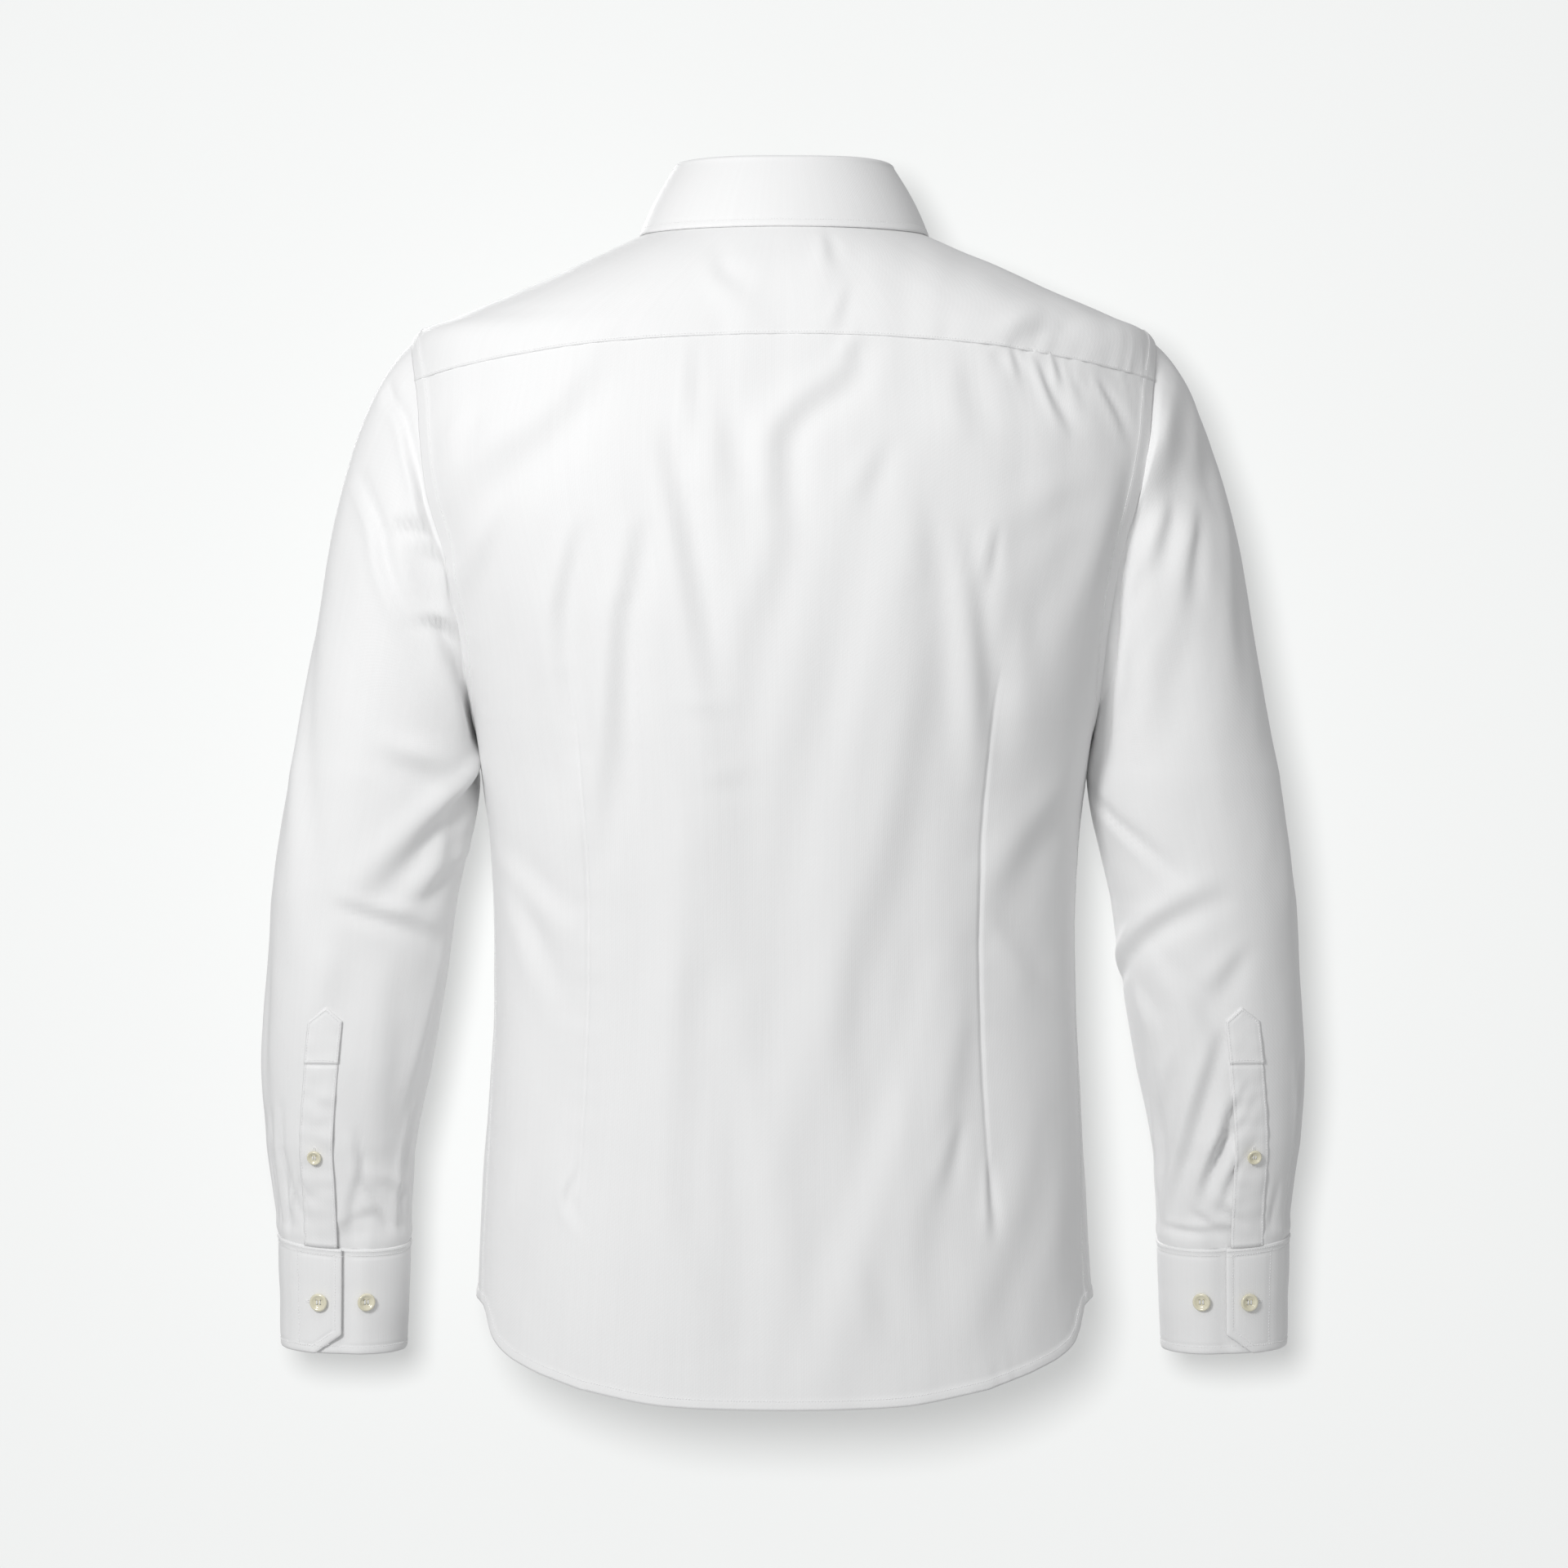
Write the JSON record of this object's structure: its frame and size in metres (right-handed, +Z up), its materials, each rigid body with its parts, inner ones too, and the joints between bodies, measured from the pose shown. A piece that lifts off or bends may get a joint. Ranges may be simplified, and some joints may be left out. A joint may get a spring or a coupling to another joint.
{
  "type": "long sleeve dress shirt",
  "caption": "Hollow long sleeve dress shirt with back yoke, darts, turn-down collar, button front, placket bands and buttoned cuffs, open at neck, hem and wrists.",
  "frame": {"origin": "middle of the neck opening, level with the points where the shoulder lines meet the collar, where the wearer's shoulders hold the shirt up", "axes": "+Z up along the shirt's length, +X to the wearer's left, the front faces -Y"},
  "size_m": [0.6582, 0.2542, 0.7671],
  "materials": {
    "cotton": "matte with a faint twill sheen",
    "button": "pearly gloss"
  },
  "bodies": {
    "root": {"back": "cotton", "yoke": "cotton", "front_left": "cotton", "front_right": "cotton", "front_band": "cotton", "collar_stand": "cotton", "collar_fall": "cotton", "sleeve_left": "cotton", "sleeve_right": "cotton", "sleeve_band_left": "cotton", "sleeve_band_right": "cotton", "cuff_left": "cotton", "cuff_right": "cotton", "collar_button": "button", "front_button_1": "button", "front_button_2": "button", "front_button_3": "button", "front_button_4": "button", "front_button_5": "button", "front_button_6": "button", "cuff_button_left_1": "button", "cuff_button_left_2": "button", "sleeve_button_left": "button", "cuff_button_right_1": "button", "cuff_button_right_2": "button", "sleeve_button_right": "button"}
  },
  "joints": []
}
